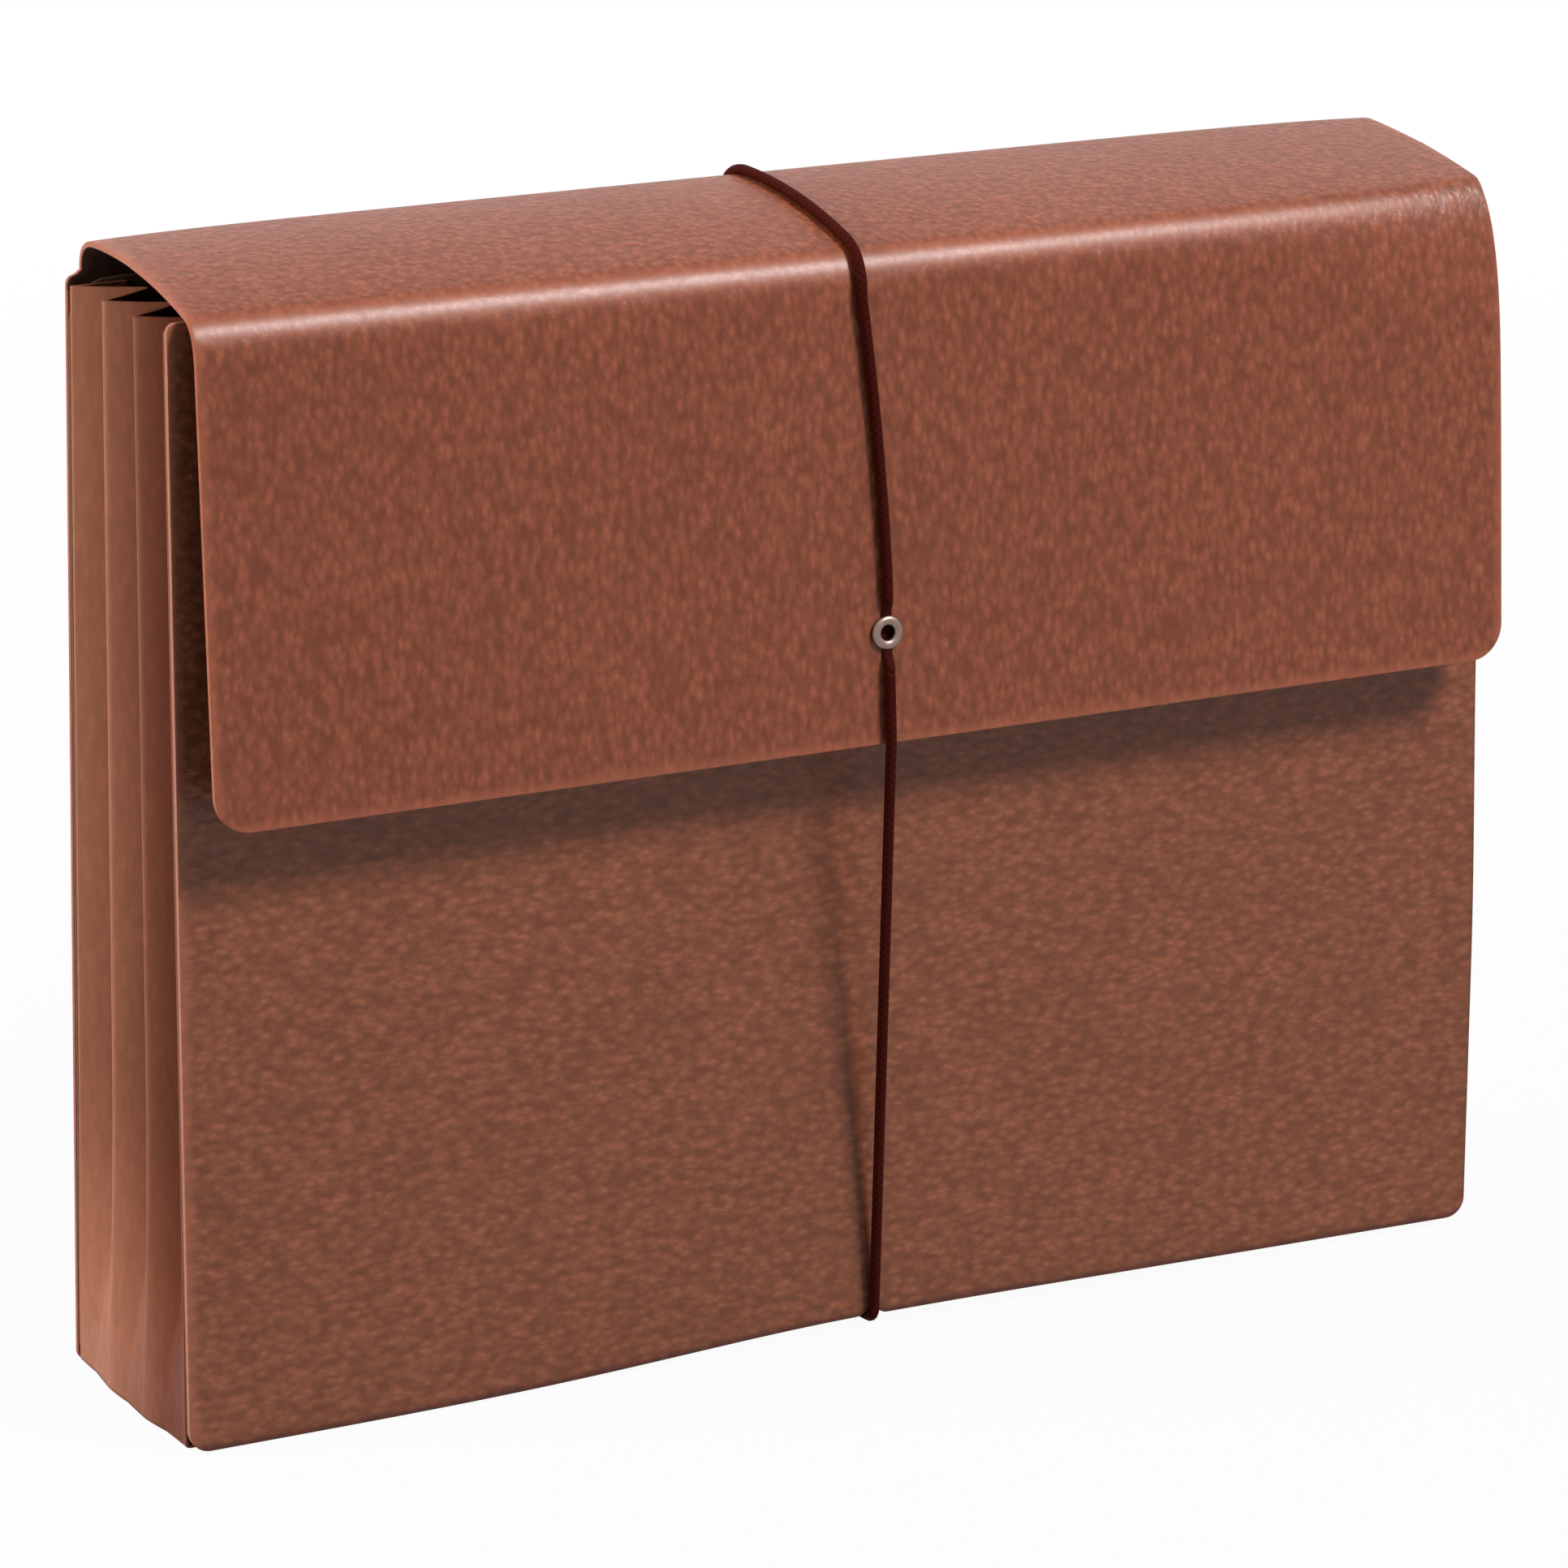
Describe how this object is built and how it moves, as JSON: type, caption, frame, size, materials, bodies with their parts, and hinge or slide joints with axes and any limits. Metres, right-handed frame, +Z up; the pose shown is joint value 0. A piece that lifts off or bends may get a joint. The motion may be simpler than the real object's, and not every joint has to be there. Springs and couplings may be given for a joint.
{
  "type": "expanding file pocket",
  "caption": "Letter-size expanding file pocket in brown leather-like sheet: pleated side and bottom gussets, fold-over flap, and an elastic cord through a metal eyelet.",
  "frame": {"origin": "on the standing surface, under the middle of the outer box", "axes": "+X across the width, -Y out of the front panel, +Z up"},
  "size_m": [0.2986, 0.071, 0.2376],
  "materials": {
    "sheet": "fine grained, satin",
    "gusset": "fine grained, satin",
    "board": "matte",
    "cord": "braided cover",
    "metal": "polished"
  },
  "bodies": {
    "back": {"back_panel": "sheet", "back_board": "board", "gusset_left_back_tab": "gusset", "gusset_right_back_tab": "gusset", "gusset_bottom_back_tab": "gusset", "cord_back_run": "cord", "cord_bottom_run": "cord"},
    "front": {"front_panel": "sheet", "front_board": "board", "gusset_left_front_tab": "gusset", "gusset_right_front_tab": "gusset", "gusset_bottom_front_tab": "gusset"},
    "flap_top": {"flap_top": "sheet", "cord_top_run": "cord"},
    "flap_front": {"flap_front": "sheet", "eyelet": "metal", "eyelet_washer": "metal", "cord_knot": "cord", "cord_flap_run": "cord"},
    "cord_lower": {"cord_lower_run": "cord"},
    "cord_front": {"cord_front_run": "cord"},
    "left_leaf_1": {"gusset_left_leaf_1": "gusset"},
    "left_leaf_2": {"gusset_left_leaf_2": "gusset"},
    "left_leaf_3": {"gusset_left_leaf_3": "gusset"},
    "left_leaf_6": {"gusset_left_leaf_6": "gusset"},
    "left_leaf_5": {"gusset_left_leaf_5": "gusset"},
    "left_leaf_4": {"gusset_left_leaf_4": "gusset"},
    "right_leaf_1": {"gusset_right_leaf_1": "gusset"},
    "right_leaf_2": {"gusset_right_leaf_2": "gusset"},
    "right_leaf_3": {"gusset_right_leaf_3": "gusset"},
    "right_leaf_6": {"gusset_right_leaf_6": "gusset"},
    "right_leaf_5": {"gusset_right_leaf_5": "gusset"},
    "right_leaf_4": {"gusset_right_leaf_4": "gusset"},
    "bottom_leaf_1": {"gusset_bottom_leaf_1": "gusset"},
    "bottom_leaf_2": {"gusset_bottom_leaf_2": "gusset"},
    "bottom_leaf_3": {"gusset_bottom_leaf_3": "gusset"},
    "bottom_leaf_6": {"gusset_bottom_leaf_6": "gusset"},
    "bottom_leaf_5": {"gusset_bottom_leaf_5": "gusset"},
    "bottom_leaf_4": {"gusset_bottom_leaf_4": "gusset"}
  },
  "joints": [
    {"name": "expand", "type": "slide", "parent": "back", "child": "front", "axis": [0, -1, 0], "range_m": [-0.038, 0]},
    {"name": "left_fold_1", "type": "hinge", "parent": "back", "child": "left_leaf_1", "pos_m": [-0.14845, 0.03032, 0.11425], "axis": [0, 0, -1], "range_deg": [-27.61, 0]},
    {"name": "left_fold_2", "type": "hinge", "parent": "left_leaf_1", "child": "left_leaf_2", "pos_m": [-0.13632, 0.02233, 0.11425], "axis": [0, 0, 1], "range_deg": [-55.22, 0]},
    {"name": "left_fold_3", "type": "hinge", "parent": "left_leaf_2", "child": "left_leaf_3", "pos_m": [-0.14845, 0.01435, 0.11425], "axis": [0, 0, -1], "range_deg": [-55.22, 0]},
    {"name": "left_fold_6", "type": "hinge", "parent": "front", "child": "left_leaf_6", "pos_m": [-0.14845, -0.01808, 0.11425], "axis": [0, 0, 1], "range_deg": [-27.61, 0]},
    {"name": "left_fold_5", "type": "hinge", "parent": "left_leaf_6", "child": "left_leaf_5", "pos_m": [-0.13632, -0.0101, 0.11425], "axis": [0, 0, -1], "range_deg": [-55.22, 0]},
    {"name": "left_fold_4", "type": "hinge", "parent": "left_leaf_5", "child": "left_leaf_4", "pos_m": [-0.14845, -0.00212, 0.11425], "axis": [0, 0, 1], "range_deg": [-55.22, 0]},
    {"name": "right_fold_1", "type": "hinge", "parent": "back", "child": "right_leaf_1", "pos_m": [0.14845, 0.03032, 0.11425], "axis": [0, 0, 1], "range_deg": [-27.61, 0]},
    {"name": "right_fold_2", "type": "hinge", "parent": "right_leaf_1", "child": "right_leaf_2", "pos_m": [0.13632, 0.02233, 0.11425], "axis": [0, 0, -1], "range_deg": [-55.22, 0]},
    {"name": "right_fold_3", "type": "hinge", "parent": "right_leaf_2", "child": "right_leaf_3", "pos_m": [0.14845, 0.01435, 0.11425], "axis": [0, 0, 1], "range_deg": [-55.22, 0]},
    {"name": "right_fold_6", "type": "hinge", "parent": "front", "child": "right_leaf_6", "pos_m": [0.14845, -0.01808, 0.11425], "axis": [0, 0, -1], "range_deg": [-27.61, 0]},
    {"name": "right_fold_5", "type": "hinge", "parent": "right_leaf_6", "child": "right_leaf_5", "pos_m": [0.13632, -0.0101, 0.11425], "axis": [0, 0, 1], "range_deg": [-55.22, 0]},
    {"name": "right_fold_4", "type": "hinge", "parent": "right_leaf_5", "child": "right_leaf_4", "pos_m": [0.14845, -0.00212, 0.11425], "axis": [0, 0, -1], "range_deg": [-55.22, 0]},
    {"name": "bottom_fold_1", "type": "hinge", "parent": "back", "child": "bottom_leaf_1", "pos_m": [0, 0.03032, 0.0034], "axis": [1, 0, 0], "range_deg": [-27.61, 0]},
    {"name": "bottom_fold_2", "type": "hinge", "parent": "bottom_leaf_1", "child": "bottom_leaf_2", "pos_m": [0, 0.02233, 0.01553], "axis": [-1, 0, 0], "range_deg": [-55.22, 0]},
    {"name": "bottom_fold_3", "type": "hinge", "parent": "bottom_leaf_2", "child": "bottom_leaf_3", "pos_m": [0, 0.01435, 0.0034], "axis": [1, 0, 0], "range_deg": [-55.22, 0]},
    {"name": "bottom_fold_6", "type": "hinge", "parent": "front", "child": "bottom_leaf_6", "pos_m": [0, -0.01808, 0.0034], "axis": [-1, 0, 0], "range_deg": [-27.61, 0]},
    {"name": "bottom_fold_5", "type": "hinge", "parent": "bottom_leaf_6", "child": "bottom_leaf_5", "pos_m": [0, -0.0101, 0.01553], "axis": [1, 0, 0], "range_deg": [-55.22, 0]},
    {"name": "bottom_fold_4", "type": "hinge", "parent": "bottom_leaf_5", "child": "bottom_leaf_4", "pos_m": [0, -0.00212, 0.0034], "axis": [-1, 0, 0], "range_deg": [-55.22, 0]},
    {"name": "flap_open", "type": "hinge", "parent": "back", "child": "flap_top", "pos_m": [0, 0.03312, 0.233], "axis": [-1, 0, 0], "range_deg": [0, 170]},
    {"name": "flap_unfold", "type": "hinge", "parent": "flap_top", "child": "flap_front", "pos_m": [0, -0.02628, 0.228], "axis": [-1, 0, 0], "range_deg": [0, 68]},
    {"name": "cord_lift", "type": "hinge", "parent": "flap_front", "child": "cord_lower", "pos_m": [0, -0.03491, 0.15045], "axis": [-1, 0, 0], "range_deg": [0, 60], "stiffness_Nm_per_rad": 0.002, "springref_deg": -17.19},
    {"name": "cord_draw", "type": "hinge", "parent": "cord_lower", "child": "cord_front", "pos_m": [0, -0.03442, 0.13031], "axis": [1, 0, 0], "range_deg": [0, 17.36]}
  ],
  "couplings": [
    {"joint": "left_fold_1", "follows": "expand", "rad_per_m": 12.68},
    {"joint": "left_fold_2", "follows": "expand", "rad_per_m": 25.36},
    {"joint": "left_fold_3", "follows": "expand", "rad_per_m": 25.36},
    {"joint": "left_fold_6", "follows": "expand", "rad_per_m": 12.68},
    {"joint": "left_fold_5", "follows": "expand", "rad_per_m": 25.36},
    {"joint": "left_fold_4", "follows": "expand", "rad_per_m": 25.36},
    {"joint": "right_fold_1", "follows": "expand", "rad_per_m": 12.68},
    {"joint": "right_fold_2", "follows": "expand", "rad_per_m": 25.36},
    {"joint": "right_fold_3", "follows": "expand", "rad_per_m": 25.36},
    {"joint": "right_fold_6", "follows": "expand", "rad_per_m": 12.68},
    {"joint": "right_fold_5", "follows": "expand", "rad_per_m": 25.36},
    {"joint": "right_fold_4", "follows": "expand", "rad_per_m": 25.36},
    {"joint": "bottom_fold_1", "follows": "expand", "rad_per_m": 12.68},
    {"joint": "bottom_fold_2", "follows": "expand", "rad_per_m": 25.36},
    {"joint": "bottom_fold_3", "follows": "expand", "rad_per_m": 25.36},
    {"joint": "bottom_fold_6", "follows": "expand", "rad_per_m": 12.68},
    {"joint": "bottom_fold_5", "follows": "expand", "rad_per_m": 25.36},
    {"joint": "bottom_fold_4", "follows": "expand", "rad_per_m": 25.36},
    {"joint": "cord_draw", "follows": "expand", "rad_per_m": -7.97}
  ]
}
